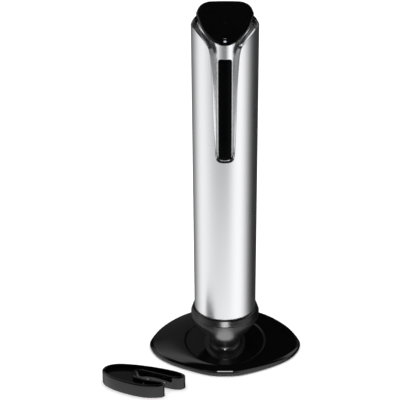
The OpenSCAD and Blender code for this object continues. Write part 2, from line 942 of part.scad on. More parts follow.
module foil_cutter_body() {
    roof = cutter_h - cutter_top;
    color(black)
        difference() {
            union() {
                difference() {
                    at_cutter() linear_extrude(height = cutter_h) polygon(cutter_outline);
                    at_cutter() translate([0, 0, -1])
                        linear_extrude(height = roof + 1) polygon(inset(cutter_outline, cutter_wall));
                }
                for (k = [0:3]) at_wheel(k) rod(hub_r, wheel_z + wheel_w + 0.3, roof + 1);
            }
            for (k = [0:3]) at_wheel(k) rod(wheel_r + 0.4, wheel_z - 0.4, wheel_z + wheel_w + 0.2);
            for (k = [0:3]) at_wheel(k) rod(wheel_pin_r, -1, roof + 1);
            for (k = [0:3]) at_wheel(k) rod(wheel_pin_r + 0.7, -1, wheel_z);
        }
}

module cutter_wheel(k) {
    edge = wheel_r - 1;
    color(steel)
        at_wheel(k)
            difference() {
                rotate_extrude()
                    polygon([[0, wheel_z], [edge, wheel_z], [wheel_r, wheel_z + wheel_w / 2],
                        [edge, wheel_z + wheel_w], [0, wheel_z + wheel_w]]);
                rod(wheel_pin_r + 0.05, 0, 10);
            }
}

module cutter_wheel_1() { cutter_wheel(0); }

module cutter_wheel_2() { cutter_wheel(1); }

module cutter_wheel_3() { cutter_wheel(2); }

module cutter_wheel_4() { cutter_wheel(3); }

module cutter_pins() {
    color(steel)
        for (k = [0:3])
            at_wheel(k) {
                rod(wheel_pin_r, wheel_z - 0.6, cutter_h - cutter_top + 0.9);
                rod(wheel_pin_r + 0.5, wheel_z - 1.2, wheel_z - 0.3);
            }
}

stand_shell();
stand_pillar();
docking_cup();
stand_cover();
antislip_pad();
ballast_plate();
stand_screws();
charge_board();
charge_led();
dc_inlet();
contact_board();
contact_pin_left();
contact_pin_right();
contact_spring_left();
contact_spring_right();
outer_sleeve();
front_bezel();
top_cap();
indicator_lens();
status_led();
main_board();
tact_switches();
plunger_up();
plunger_down();
rocker_switch();
rocker_pin();
chassis_left();
chassis_right();
chassis_screws();
battery_cells();
battery_holder();
battery_tabs();
motor_can();
motor_cap();
motor_shaft();
motor_armature();
motor_pinion();
gear_housing();
gear_cover();
stage_one_carrier();
output_carrier();
stage_one_planet_1();
stage_one_planet_2();
stage_one_planet_3();
stage_two_planet_1();
stage_two_planet_2();
stage_two_planet_3();
spindle_bush();
corkscrew();
cork_chamber();
bottle_collar();
stop_ring();
contact_rings();
foil_cutter_body();
cutter_wheel_1();
cutter_wheel_2();
cutter_wheel_3();
cutter_wheel_4();
cutter_pins();
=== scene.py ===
"""Looks of the electric wine opener in its charging stand, with its foil cutter beside it."""

import math

import bmesh
import bpy
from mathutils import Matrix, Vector


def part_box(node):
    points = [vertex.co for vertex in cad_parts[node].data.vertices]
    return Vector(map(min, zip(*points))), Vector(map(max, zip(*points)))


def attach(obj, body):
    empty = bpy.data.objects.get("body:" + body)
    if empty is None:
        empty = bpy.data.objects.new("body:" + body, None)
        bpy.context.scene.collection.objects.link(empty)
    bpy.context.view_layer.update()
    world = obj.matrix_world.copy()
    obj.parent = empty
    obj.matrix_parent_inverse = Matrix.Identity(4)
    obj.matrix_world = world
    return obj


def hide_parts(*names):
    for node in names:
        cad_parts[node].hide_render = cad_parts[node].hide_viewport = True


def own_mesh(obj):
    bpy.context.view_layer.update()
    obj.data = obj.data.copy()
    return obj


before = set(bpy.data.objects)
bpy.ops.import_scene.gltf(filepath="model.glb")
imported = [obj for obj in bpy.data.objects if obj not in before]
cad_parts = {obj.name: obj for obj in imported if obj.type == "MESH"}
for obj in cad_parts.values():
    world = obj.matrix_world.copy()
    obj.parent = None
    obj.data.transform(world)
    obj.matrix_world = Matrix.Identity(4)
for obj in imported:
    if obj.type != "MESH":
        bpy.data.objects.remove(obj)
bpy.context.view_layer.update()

MM = 0.001
SIDES = 160                     # steps round the tube and the lathed parts

# The tube, from the frame
TUBE_LOW, TUBE_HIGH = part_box("outer_sleeve")
TUBE_R = TUBE_HIGH.x / MM
TUBE_BOTTOM = TUBE_LOW.z / MM
SEAT_Z = TUBE_HIGH.z / MM
RIM_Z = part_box("front_bezel")[1].z / MM

# The cap: its outline seen from above and its sloping face
CAP_HALF = [(0, -23.8), (7.5, -20.4), (16.3, -8.4), (20.9, 7.2), (20.7, 11.4), (19.3, 15.6), (16.4, 19.1),
            (10.8, 21.6), (0, 22.4)]
CAP_TIP_Y = CAP_HALF[0][1]
CAP_TIP_Z = 273.3
CAP_TOP_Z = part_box("top_cap")[1].z / MM - 0.05
CAP_SLOPE = math.tan(math.radians(23.3))
LID_H = 0.9
SKIRT_Z = 281.9                 # the cap's lower edge at the sides and the back

# Edges of the recess down the tube's front, right half: on the tube, and at the foot of the ridge
OUTER_EDGE = [(22.4, 281.35), (20.5, 279.65), (17.56, 277.05), (14.65, 273.95), (13.1, 272), (12.2, 270.15),
              (11.6, 268), (10.8, 263.5), (9.85, 250), (9.2, 238.5), (8.75, 221), (7.8, 193.5),
              (7.35, 186.8), (6.4, 183.4), (4, 181.8), (0, 181.4)]
INNER_EDGE = [(20.5, 281.1), (18.3, 279.8), (15.2, 277.4), (12.4, 274.4), (10.7, 272.3), (9.2, 270.4),
              (8.2, 268), (7.4, 263.6), (7.05, 250), (6.95, 238.5), (6.9, 221), (6.8, 193.5),
              (6.5, 187.2), (5.5, 184.2), (3.4, 182.8), (0, 182.5)]

# The rocker and its pocket
ROCKER_LOW, ROCKER_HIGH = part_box("rocker_switch")
ROCKER_Z = (ROCKER_LOW.z + ROCKER_HIGH.z) / 2 / MM
ROCKER_HALF_W = ROCKER_HIGH.x / MM
ROCKER_HALF_L = (ROCKER_HIGH.z - ROCKER_LOW.z) / 2 / MM
ROCKER_FRONT = ROCKER_LOW.y / MM
ROCKER_BACK = -22.4
POCKET_GAP = 0.4
POCKET_R = 2.4
POCKET_Y = -21.3

# The stand
PLATE_HALF = [(0, -40.5), (15.5, -38.3), (38.5, -27.5), (54.5, -15.2), (62.6, 0),
              (61.5, 12), (53, 29.8), (38, 46.3), (20, 56.5), (0, 59.8)]
RIM_H = 4.6
RING_Z = 8
PILLAR_ROWS = [(8, 17, 28.3), (8.25, 16.9, 28.1), (8.45, 16.3, 27.2), (8.5, 15.7, 26.2), (8.85, 15.2, 25.2),
               (9.05, 14.2, 23.4), (9.2, 13.2, 20.8), (9.6, 12.3, 18.4), (12, 12, 17), (15, 13.6, 17.8),
               (19, 16.2, 20.4), (23, 19.4, 23.4), (27.7, 23.2, 25.7), (31.5, 26, 27), (34.6, 27.6, 27.7),
               (38, 27.9, 27.9)]

# The charging pins' springs
SPRING_TURNS = 5
SPRING_STEPS = 24
WIRE_ANGLES = [math.pi * k / 4 for k in range(8)]

# The foil cutter
CUTTER_AT = (-65, -56)
CUTTER_TURN = math.radians(-15)
CUTTER_KEYS = [(-34.4, 1.6), (-31, 8.6), (-20.7, 13), (-1, 15), (18.6, 14.4), (29, 12.4), (32.2, 9.4),
               (29.4, 5.6), (22.7, 4.5), (12.6, 5.6), (1, 6.8), (-5.5, 7), (-7.6, 4), (-5, -0.6), (3.5, -3),
               (12, -2.8), (18, -3.2), (19.6, -6), (16.5, -9), (6, -11.8), (-6, -11.6), (-20.5, -8.9),
               (-30.5, -4.4)]
CUTTER_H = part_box("foil_cutter_body")[1].z / MM


# ---------- curves ----------

def lerp(a, b, t):
    return a + (b - a) * t


def catmull(a, b, c, d, t):
    """Point at t between b and c on the smooth curve through a, b, c and d."""
    return tuple(0.5 * (2 * q + (r - p) * t + (2 * p - 5 * q + 4 * r - s) * t * t
                        + (3 * q - p - 3 * r + s) * t ** 3) for p, q, r, s in zip(a, b, c, d))


def closed_curve(keys, steps):
    """Smooth closed curve through keys."""
    n = len(keys)
    return [catmull(keys[i - 1], keys[i], keys[(i + 1) % n], keys[(i + 2) % n], j / steps)
            for i in range(n) for j in range(steps)]


def open_curve(keys, steps):
    """Smooth open curve through keys, ends included."""
    k = [keys[0], *keys, keys[-1]]
    points = [catmull(k[i], k[i + 1], k[i + 2], k[i + 3], j / steps)
              for i in range(len(keys) - 1) for j in range(steps)]
    return [*points, keys[-1]]


def mirrored(half):
    return half + [(-x, y) for x, y in half[-2:0:-1]]


def lookup(table, x):
    """Value at x of a list of (x, value) pairs sorted by x."""
    if x <= table[0][0]:
        return table[0][1]
    for (x0, v0), (x1, v1) in zip(table, table[1:]):
        if x <= x1:
            return lerp(v0, v1, (x - x0) / max(x1 - x0, 1e-9))
    return table[-1][1]


def rotated(p, angle):
    return (p[0] * math.cos(angle) - p[1] * math.sin(angle), p[0] * math.sin(angle) + p[1] * math.cos(angle))


# ---------- meshes ----------

class Sheet:
    """Collects vertices and faces, in millimetres, for one piece."""

    def __init__(self):
        self.verts = []
        self.faces = []

    def grid(self, rows, closed=False, flip=False):
        """Adds a surface through rows of points of equal length."""
        start = len(self.verts)
        n = len(rows[0])
        for row in rows:
            self.verts.extend(row)
        for i in range(len(rows) - 1):
            for j in range(n if closed else n - 1):
                a = start + i * n + j
                b = start + i * n + (j + 1) % n
                face = [a, b, b + n, a + n]
                self.faces.append(face[::-1] if flip else face)

    def cap(self, ring, flip=False):
        """Adds one flat face across a ring of points."""
        start = len(self.verts)
        self.verts.extend(ring)
        face = list(range(start, start + len(ring)))
        self.faces.append(face[::-1] if flip else face)

    def piece(self, name, body, finish, replaces=(), slot=None, angle=32, outward=True):
        """Makes the object, welds its seams, shades it and hangs it on its CAD body."""
        mesh = bpy.data.meshes.new(name)
        mesh.from_pydata([[c * MM for c in v] for v in self.verts], [], self.faces)
        bm = bmesh.new()
        bm.from_mesh(mesh)
        bmesh.ops.remove_doubles(bm, verts=bm.verts, dist=0.004 * MM)
        bmesh.ops.dissolve_degenerate(bm, edges=bm.edges, dist=0.002 * MM)
        big = [f for f in bm.faces if len(f.verts) > 4]
        bmesh.ops.triangulate(bm, faces=big)
        if outward:
            bmesh.ops.recalc_face_normals(bm, faces=bm.faces)
        bm.to_mesh(mesh)
        bm.free()
        mesh.shade_smooth()
        mesh.set_sharp_from_angle(angle=math.radians(angle))
        mesh.materials.append(finish)
        obj = bpy.data.objects.new(name, mesh)
        bpy.context.scene.collection.objects.link(obj)
        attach(obj, body)
        if replaces:
            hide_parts(*replaces)
        return obj


def lathe(profile, sides=SIDES):
    """Rows of points for a surface of revolution about Z through (radius, height) pairs."""
    return [[(r * math.sin(2 * math.pi * k / sides), -r * math.cos(2 * math.pi * k / sides), z)
             for k in range(sides)] for r, z in profile]


# ---------- materials ----------

def new_material(name):
    material = bpy.data.materials.new(name)
    material.use_nodes = True
    tree = material.node_tree
    return material, tree, tree.nodes["Principled BSDF"]


def place(tree, stretch):
    """Object coordinates, stretched by a vector."""
    where = tree.nodes.new("ShaderNodeTexCoord")
    mapping = tree.nodes.new("ShaderNodeMapping")
    mapping.inputs["Scale"].default_value = stretch
    tree.links.new(where.outputs["Object"], mapping.inputs["Vector"])
    return mapping.outputs["Vector"]


def noise(tree, vector, scale, detail=4):
    node = tree.nodes.new("ShaderNodeTexNoise")
    node.inputs["Scale"].default_value = scale
    node.inputs["Detail"].default_value = detail
    tree.links.new(vector, node.inputs["Vector"])
    return node.outputs["Fac"]


def spread(tree, value, low, high):
    """Maps the middle of a noise to the range low to high."""
    node = tree.nodes.new("ShaderNodeMapRange")
    node.inputs["From Min"].default_value = 0.3
    node.inputs["From Max"].default_value = 0.7
    node.inputs["To Min"].default_value = low
    node.inputs["To Max"].default_value = high
    tree.links.new(value, node.inputs["Value"])
    return node.outputs["Result"]


def tint(tree, value, dark, light):
    """Colour between dark and light, led by value."""
    node = tree.nodes.new("ShaderNodeMix")
    node.data_type = "RGBA"
    node.inputs["A"].default_value = (*dark, 1)
    node.inputs["B"].default_value = (*light, 1)
    tree.links.new(value, node.inputs["Factor"])
    return node.outputs["Result"]


def bump(tree, shader, value, strength, distance):
    node = tree.nodes.new("ShaderNodeBump")
    node.inputs["Strength"].default_value = strength
    node.inputs["Distance"].default_value = distance
    tree.links.new(value, node.inputs["Height"])
    tree.links.new(node.outputs["Normal"], shader.inputs["Normal"])


def finish(name, base, vary=0.06, metallic=0.0, rough=(0.3, 0.4), grain=900, stretch=(1, 1, 1), relief=0.05,
           specular=0.5, coat=0.0, blotch=40):
    """A surface whose colour, roughness and relief all vary a little, at the scale of the real one."""
    material, tree, shader = new_material(name)
    coords = place(tree, stretch)
    wide = noise(tree, coords, blotch)
    fine = noise(tree, coords, grain, 3)
    dark = [c * (1 - vary) for c in base]
    light = [min(1, c * (1 + vary)) for c in base]
    tree.links.new(tint(tree, wide, dark, light), shader.inputs["Base Color"])
    tree.links.new(spread(tree, wide, *rough), shader.inputs["Roughness"])
    bump(tree, shader, fine, relief, 0.00005)
    shader.inputs["Metallic"].default_value = metallic
    shader.inputs["Specular IOR Level"].default_value = specular
    shader.inputs["Coat Weight"].default_value = coat
    shader.inputs["Coat Roughness"].default_value = 0.04
    return material


def glowing(name, base, glow, strength):
    """A clear moulded lens lit from within."""
    material = finish(name, base, vary=0.03, rough=(0.08, 0.14), relief=0.02)
    shader = material.node_tree.nodes["Principled BSDF"]
    shader.inputs["Emission Color"].default_value = (*glow, 1)
    shader.inputs["Emission Strength"].default_value = strength
    return material


def make_finishes():
    """One finish for each material slot of the record."""
    return {
        "gloss_black": finish("gloss_black", (0.0012, 0.0012, 0.0014), rough=(0.06, 0.1), relief=0.012,
                              grain=300, specular=0.5),
        "satin_aluminium": finish("satin_aluminium", (0.885, 0.89, 0.905), vary=0.012, metallic=1,
                                  rough=(0.27, 0.3), grain=2600, stretch=(1, 1, 0.35), relief=0.05,
                                  blotch=60),
        "satin_silver": finish("satin_silver", (0.875, 0.88, 0.895), vary=0.012, metallic=1,
                               rough=(0.22, 0.25), grain=2200, relief=0.05, blotch=60),
        "dark_plastic": finish("dark_plastic", (0.03, 0.03, 0.034), vary=0.15, rough=(0.45, 0.6),
                               grain=1800, relief=0.2),
        "black_rubber": finish("black_rubber", (0.02, 0.02, 0.02), vary=0.2, rough=(0.7, 0.85),
                               grain=1200, relief=0.35, specular=0.3),
        "steel": finish("steel", (0.62, 0.63, 0.65), metallic=1, rough=(0.18, 0.3), grain=2400,
                        stretch=(1, 1, 0.3), relief=0.08),
        "brass": finish("brass", (0.83, 0.62, 0.27), metallic=1, rough=(0.15, 0.28), grain=1500),
        "copper_winding": finish("copper_winding", (0.72, 0.34, 0.16), metallic=1, rough=(0.25, 0.35),
                                 grain=500, stretch=(1, 1, 8), relief=0.4),
        "nylon": finish("nylon", (0.8, 0.78, 0.7), rough=(0.4, 0.55), grain=900),
        "circuit_board": finish("circuit_board", (0.02, 0.16, 0.07), vary=0.3, rough=(0.25, 0.4),
                                grain=400, stretch=(1, 3, 1), blotch=300),
        "clear_lens": glowing("clear_lens", (0.3, 0.33, 0.36), (0.75, 0.87, 1), 0.12),
        "cell_wrap": finish("cell_wrap", (0.06, 0.16, 0.38), vary=0.1, rough=(0.2, 0.3), grain=700),
    }


FINISH = make_finishes()


def dress_nodes():
    """Every CAD node takes the finish of its material slot."""
    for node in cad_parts.values():
        for i, old in enumerate(node.data.materials):
            node.data.materials[i] = FINISH[old.name.split(".")[0]]


# ---------- opener ----------

CAP_OUTLINE = closed_curve(mirrored(CAP_HALF), 16)
RIDGE = sorted((x, y) for x, y in CAP_OUTLINE if x >= 0 and y <= 7.3)
STEPS = 10                      # steps between the edges' keys
OUTER = open_curve(OUTER_EDGE, STEPS)
INNER = open_curve(INNER_EDGE, STEPS)
GROOVE_W = 0.7                  # width and depth of the fine groove round the ridge's lower part
GROOVE_D = 1.0
GROOVE_TOP = 267                # the groove opens downwards from here, over GROOVE_RUN
GROOVE_RUN = 7
SHALLOW_TOP = 270.2             # the flank's foot deepens from here up, over SHALLOW_RUN
SHALLOW_RUN = 4


def tube_y(x, r=TUBE_R):
    return -math.sqrt(max(r * r - x * x, 0))


def ridge_y(x):
    """Front surface of the ridge, which follows the cap's outline."""
    return lookup(RIDGE, abs(x))


def face_z(y):
    """Height of the cap's face."""
    return min(CAP_TIP_Z + CAP_SLOPE * (y - CAP_TIP_Y), CAP_TOP_Z)


def lip_z(y):
    """Height of the cap's lower edge."""
    return min(face_z(y) - LID_H, SKIRT_Z)


def both_sides(right):
    """The whole of a line given by its right half, from the right end round to the left end."""
    return right + [(-x, z) for x, z in right[-2::-1]]


def smooth(t):
    t = max(0.0, min(1.0, t))
    return t * t * (3 - 2 * t)


def groove_share(z):
    """How far the groove has opened at height z: 0 at the V, 1 beside the rocker."""
    return smooth((GROOVE_TOP - z) / GROOVE_RUN)


def ridge_edge(points):
    """The ridge's edge: the flank's foot moved in by the groove's width."""
    edge = []
    for i, (x, z) in enumerate(points):
        ax, az = points[max(i - 1, 0)]
        bx, bz = points[min(i + 1, len(points) - 1)]
        size = max(math.hypot(bx - ax, bz - az), 1e-6)
        move = GROOVE_W * groove_share(z) / size
        edge.append((x + (bz - az) * move, z - (bx - ax) * move))
    return edge


def make_sleeve():
    """The aluminium tube, cut out round the recess."""
    sheet = Sheet()
    front = [(math.asin(x / TUBE_R), z) for x, z in both_sides(OUTER)]
    end = front[0][0]
    back_steps = 96
    back = [(lerp(-end, end - 2 * math.pi, k / back_steps), SEAT_Z) for k in range(1, back_steps)]
    columns = [*front, *back]
    rows = []
    for r, share in ((TUBE_R, (0, 0.25, 0.5, 0.75, 0.95, 1)), (TUBE_R - 1.45, (1, 0.5, 0)), (TUBE_R, (0,))):
        for t in share:
            rows.append([(r * math.sin(a), -r * math.cos(a), lerp(TUBE_BOTTOM, z, t)) for a, z in columns])
    sheet.grid(rows, closed=True)
    return sheet.piece("sleeve", "opener", FINISH["satin_aluminium"], ["outer_sleeve"], "satin_aluminium")


def foot_y(x, z):
    """Depth of the flank's foot: shallow beside the rocker, down on the ridge where the V begins."""
    deep = ridge_y(x)
    shallow = min(tube_y(x) + 1.1, deep)
    return lerp(shallow, deep, smooth((z - SHALLOW_TOP) / SHALLOW_RUN))


def flank_column(outer, foot_at, ridge_at):
    """Points across the flank: rolled off the tube's edge, down to its foot, then through the groove."""
    x0, z0 = outer
    x1, z1 = foot_at
    x2, z2 = ridge_at
    side = 1 if x0 > 0 else -1
    edge = Vector((x0, tube_y(x0), z0))
    foot = Vector((x1, foot_y(x1, z1), z1))
    ridge = Vector((x2, ridge_y(x2), z2))
    roll = 0.4
    reach = min(roll / max((foot - edge).length, 0.01), 0.4)
    on_tube = Vector((x0 - side * roll * 0.8, tube_y(x0 - side * roll * 0.8), lerp(z0, z1, reach)))
    after = edge.lerp(foot, reach * 1.6)
    column = []
    for k in range(6):
        t = k / 5
        column.append(edge.lerp(on_tube, t).lerp(on_tube.lerp(after, t), t))
    column += [after.lerp(foot, u) for u in (0.25, 0.5, 0.75, 0.93, 1)]
    depth = ridge.y + GROOVE_D * groove_share(z1)
    column += [Vector((lerp(x1, x2, 0.1), depth, lerp(z1, z2, 0.1))), Vector((x2, depth, z2)), ridge]
    return [tuple(p) for p in column]


def add_flanks(sheet):
    outer, inner = both_sides(OUTER), both_sides(INNER)
    sheet.grid([flank_column(*points) for points in zip(outer, inner, ridge_edge(inner))])


def pocket_point(x, z, grow=0.0):
    """Nearest point to x, z on the outline of the rocker's pocket."""
    w = ROCKER_HALF_W + POCKET_GAP + grow - POCKET_R
    h = ROCKER_HALF_L + POCKET_GAP + grow - POCKET_R
    qx = max(-w, min(w, x))
    qz = max(ROCKER_Z - h, min(ROCKER_Z + h, z))
    away = Vector((x - qx, z - qz))
    away = away.normalized() * POCKET_R
    return qx + away.x, qz + away.y


def add_ridge(sheet):
    """The ridge under the cap and round the rocker."""
    shoulder = ROCKER_Z + ROCKER_HALF_L + POCKET_GAP - POCKET_R
    inner = ridge_edge(both_sides(INNER))
    low = [(x, z) for x, z in inner if z < shoulder]
    side_x = lookup(sorted((z, x) for x, z in inner if x > 0), shoulder)
    low = [(side_x, shoulder), *low, (-side_x, shoulder)]
    rows = []
    for u in (0, 0.3, 0.6, 0.85, 1):
        row = []
        for x, z in low:
            px, pz = pocket_point(x, z)
            qx, qz = lerp(x, px, u), lerp(z, pz, u)
            row.append((qx, ridge_y(qx), qz))
        rows.append(row)
    sheet.grid(rows)
    foot_at = sorted((x, z) for x, z in inner if x > 0 and z >= shoulder)
    pocket_w = ROCKER_HALF_W + POCKET_GAP
    columns = [pocket_w * math.sin(math.pi / 2 * k / 16) for k in range(16)]
    columns += [lerp(side_x, pocket_w, u) for u in (1, 0.85, 0.6, 0.3)]
    columns += [lerp(side_x, INNER_EDGE[0][0], k / 44) for k in range(45)]
    columns = [-x for x in columns[:0:-1]] + columns

    def bottom(x):
        a = abs(x)
        if a <= pocket_w:
            reach = max(a - (pocket_w - POCKET_R), 0)
            return shoulder + math.sqrt(max(POCKET_R ** 2 - reach ** 2, 0))
        return shoulder if a <= side_x else lookup(foot_at, a)

    def nose_point(x, u):
        """Point up the nose, which leans in under the cap away from its tip."""
        low_z = bottom(x)
        z = lerp(low_z, lip_z(ridge_y(x)) + 0.35, u)
        a = abs(x)
        lean = 0.5 * max(0.0, min(1.0, (a - 8) / 3)) * (z - low_z)
        slope = (ridge_y(a + 0.1) - ridge_y(a - 0.1)) / 0.2
        size = math.hypot(slope, 1)
        return (math.copysign(a - lean * slope / size, x), ridge_y(x) + lean / size, z)

    sheet.grid([[nose_point(x, u) for x in columns] for u in (0, 0.12, 0.3, 0.5, 0.7, 0.88, 1)])


def rounded_box(half_w, half_l, r, steps=8):
    """Outline of a rounded rectangle about the rocker's centre, as x, z pairs."""
    points = []
    for cx, cz, start in ((1, 1, 0), (-1, 1, 90), (-1, -1, 180), (1, -1, 270)):
        for k in range(steps + 1):
            a = math.radians(start + 90 * k / steps)
            points.append((cx * (half_w - r) + r * math.cos(a),
                           ROCKER_Z + cz * (half_l - r) + r * math.sin(a)))
    return points


def dense(points, limit=3.0):
    """The closed outline with long stretches divided."""
    result = []
    for p, q in zip(points, points[1:] + points[:1]):
        n = max(1, int(math.dist(p, q) / limit))
        result += [(lerp(p[0], q[0], k / n), lerp(p[1], q[1], k / n)) for k in range(n)]
    return result


def add_pocket(sheet):
    outline = dense(rounded_box(ROCKER_HALF_W + POCKET_GAP, ROCKER_HALF_L + POCKET_GAP, POCKET_R))
    lip = [(x, ridge_y(x), z) for x, z in outline]
    floor = [(x, POCKET_Y, z) for x, z in outline]
    sheet.grid([lip, floor], closed=True)
    sheet.cap(floor)


def rim_column(a, inner, z_end):
    """Points over the rim at angle a: from the cap's foot, over the top, down to the tube."""
    out = Vector((math.sin(a), -math.cos(a), 0))
    roll = RIM_Z - z_end
    top = Vector((0, 0, RIM_Z - roll + 2.2 * smooth((out.y * TUBE_R - 3) / 11)))
    flat = out * (TUBE_R - roll) + top + Vector((0, 0, roll))
    crest = Vector((inner.x, inner.y, flat.z + 0.3))
    flat.z -= 0.05
    column = [crest, crest.lerp(flat, 0.1), crest.lerp(flat, 0.5) + Vector((0, 0, 0.05))]
    for m in range(7):
        b = math.pi / 2 * m / 6
        column.append(out * (TUBE_R - roll + roll * math.sin(b)) + top + Vector((0, 0, roll * math.cos(b))))
    return [*column, out * TUBE_R + Vector((0, 0, SEAT_Z))]


def add_rim(sheet):
    """The rim behind and beside the cap, rolled over at the tube's edge and merged into the V."""
    x_end, z_end = OUTER_EDGE[0]
    a_end = math.asin(x_end / TUBE_R)
    steps, merge = 132, 14
    first = min(range(len(CAP_OUTLINE)),
                key=lambda i: abs(CAP_OUTLINE[i][0] - INNER_EDGE[0][0]) + (CAP_OUTLINE[i][1] > 7) * 99)
    walk = CAP_OUTLINE[first:len(CAP_OUTLINE) - first + 1]
    columns = []
    for k in range(steps + 1):
        a = lerp(a_end, 2 * math.pi - a_end, k / steps)
        i = k / steps * (len(walk) - 1)
        j = min(int(i), len(walk) - 2)
        inner = Vector((*[lerp(walk[j][c], walk[j + 1][c], i - j) for c in (0, 1)], INNER_EDGE[0][1]))
        column = rim_column(a, inner, z_end)
        edge = Vector((TUBE_R * math.sin(a), -TUBE_R * math.cos(a), z_end))
        t = smooth(min(k, steps - k) / merge)
        ruled = [inner.lerp(edge, u) for u in (0, 0.1, 0.5, 0.9, 0.94, 0.96, 0.975, 0.985, 0.995, 1)]
        ruled.append(column[-1])
        columns.append([tuple(p.lerp(q, t)) for p, q in zip(ruled, column)])
    sheet.grid(columns)


def make_bezel():
    """The silver nose, the V cut, the recess and the rim of the tube."""
    sheet = Sheet()
    add_flanks(sheet)
    add_ridge(sheet)
    add_pocket(sheet)
    add_rim(sheet)
    return sheet.piece("bezel", "opener", FINISH["satin_silver"], ["front_bezel"], "satin_silver",
                       outward=False)


def scaled_outline(k):
    return [(x * k, (y + 1.4) * k - 1.4) for x, y in CAP_OUTLINE]


def make_cap():
    """The gloss black cap, rolled over at its edge, with a shallow dish for the thumb."""
    sheet = Sheet()
    rows = []
    edge = 0.7
    for inset, drop in ((1.6, None), (0.25, None), (0.0, "lip"), (0.0, edge), (0.08, 0.42), (0.22, 0.18),
                        (0.42, 0.05), (0.75, 0.0)):
        k = 1 - inset / 21
        ring = scaled_outline(k)
        row = []
        for x, y in ring:
            if drop is None:
                z = lip_z(y)
            elif drop == "lip":
                z = lip_z(y) + 0.12
            else:
                z = face_z(y) - drop
            row.append((x, y, z))
        rows.append(row)
    for k in (0.9, 0.8, 0.65, 0.5, 0.35, 0.2, 0.08, 0.01):
        rows.append([(x, y, face_z(y) - 0.35 * (1 - k * k) * (1 - k * k)) for x, y in scaled_outline(k)])
    sheet.grid(rows, closed=True)
    sheet.cap(rows[-1])
    return sheet.piece("cap", "opener", FINISH["gloss_black"], ["top_cap"], "gloss_black", angle=50)


def make_cap_mark():
    """The small pale bar behind the indicator."""
    sheet = Sheet()
    rows = []
    for r, lift in ((0.0, 0.03), (0.75, 0.03), (1.0, 0.0), (1.0, -0.3)):
        row = []
        for k in range(24):
            a = 2 * math.pi * k / 24
            x, y = 1.2 * r * math.cos(a), -17.4 + 0.28 * r * math.sin(a)
            row.append((x, y, face_z(y) + lift))
        rows.append(row)
    sheet.grid(rows, closed=True)
    return sheet.piece("cap_mark", "opener", FINISH["mark"], slot="clear_lens")


def make_rocker():
    """The rocker: crowned across, dished along, with rolled edges, and its pivot behind."""
    sheet = Sheet()

    def front(x, z):
        across = 0.9 * (x / ROCKER_HALF_W) ** 2
        along = 0.3 * max(0.0, 1 - (abs(z - ROCKER_Z) / 26) ** 2)
        return ROCKER_FRONT + across + along

    rows = []
    for inset, back in ((0, 1.9), (0, 0.75), (0.1, 0.4), (0.28, 0.15), (0.55, 0.03), (0.9, 0), (2, 0),
                        (3.4, 0), (ROCKER_HALF_W, 0)):
        ring = dense(rounded_box(ROCKER_HALF_W, ROCKER_HALF_L, 2))
        row = []
        for x, z in ring:
            kx = 1 - inset / ROCKER_HALF_W
            kz = 1 - inset / ROCKER_HALF_L
            px, pz = x * kx, ROCKER_Z + (z - ROCKER_Z) * kz
            row.append((px, min(front(px, pz) + back, ROCKER_BACK), pz))
        rows.append(row)
    sheet.grid(rows, closed=True)
    bore_r, pivot_r, half = 1.06, 2.1, 2.8
    pivot_y = -20.2
    corners = [2 * math.pi * k / 32 for k in range(32)]
    barrel = []
    for x, r in ((-half, bore_r), (-half, pivot_r), (half, pivot_r), (half, bore_r), (-half, bore_r)):
        barrel.append([(x, pivot_y + r * math.cos(a), ROCKER_Z + r * math.sin(a)) for a in corners])
    sheet.grid(barrel, closed=True)
    for z0 in (ROCKER_Z - 30, ROCKER_Z, ROCKER_Z + 30):
        h = 2.1 if z0 == ROCKER_Z else 1.2
        post = [(h, -22.6), (-h, -22.6), (-h, -20.3 - (z0 == ROCKER_Z)), (h, -20.3 - (z0 == ROCKER_Z))]
        sheet.grid([[(s, y, z0 + dz) for dz, y in post] for s in (-1.2, 1.2)], closed=True)
    return sheet.piece("rocker", "rocker", FINISH["switch_black"], ["rocker_switch"], "gloss_black",
                       angle=40)


# ---------- stand ----------

PLATE = closed_curve(mirrored(PLATE_HALF), 8)


def polar(outline, a, b, shift=0.0):
    """An oval with one point for each point of outline, in its direction."""
    angles = [math.atan2(y, x) for x, y in outline]
    return [(a * math.cos(t), shift + b * math.sin(t)) for t in angles]


RING = polar(PLATE, 33.5, 37, 1.5)
FOOT = polar(PLATE, 11, 16.6)


def between(a, b, t, z):
    return [(lerp(p[0], q[0], t), lerp(p[1], q[1], t), z) for p, q in zip(a, b)]


def dome(t):
    return RIM_H + (RING_Z + 0.6 - RIM_H) * math.sin(math.pi / 2 * t)


def make_shell():
    """The gloss black plate: a rounded rim, a low dome and a fine step round the foot."""
    sheet = Sheet()
    under = [(0.16, 1.6), (0.07, 1.2), (0.05, 0.75), (0.03, 0.6), (0.012, 0.68), (0.003, 0.95), (0, 1.4),
             (0, 2.3)]
    rows = [between(PLATE, RING, t, z) for t, z in under]
    for k in range(1, 11):
        a = math.pi / 3 * k / 10
        rows.append(between(PLATE, RING, 0.2 * (1 - math.cos(a)),
                            2.3 + (dome(0.1) - 2.3) * math.sin(a) / math.sin(math.pi / 3)))
    slope = (0.12, 0.15, 0.18, 0.22, 0.3, 0.4, 0.5, 0.6, 0.7, 0.8, 0.88, 0.94, 0.975)
    rows += [between(PLATE, RING, t, dome(t)) for t in slope]
    top = RING_Z + 0.6
    rows += [between(PLATE, RING, 0.99, top), between(PLATE, RING, 0.998, top - 0.06)]
    step = [(0.004, top - 0.2), (0.008, RING_Z + 0.12), (0.02, RING_Z + 0.02), (0.05, RING_Z)]
    rows += [between(RING, FOOT, t, z) for t, z in step]
    rows += [between(RING, FOOT, t, RING_Z) for t in (0.2, 0.4, 0.6, 0.8, 1)]
    sheet.grid(rows, closed=True)
    return sheet.piece("stand_plate", "stand", FINISH["gloss_black"], ["stand_shell"], "gloss_black",
                       angle=35)


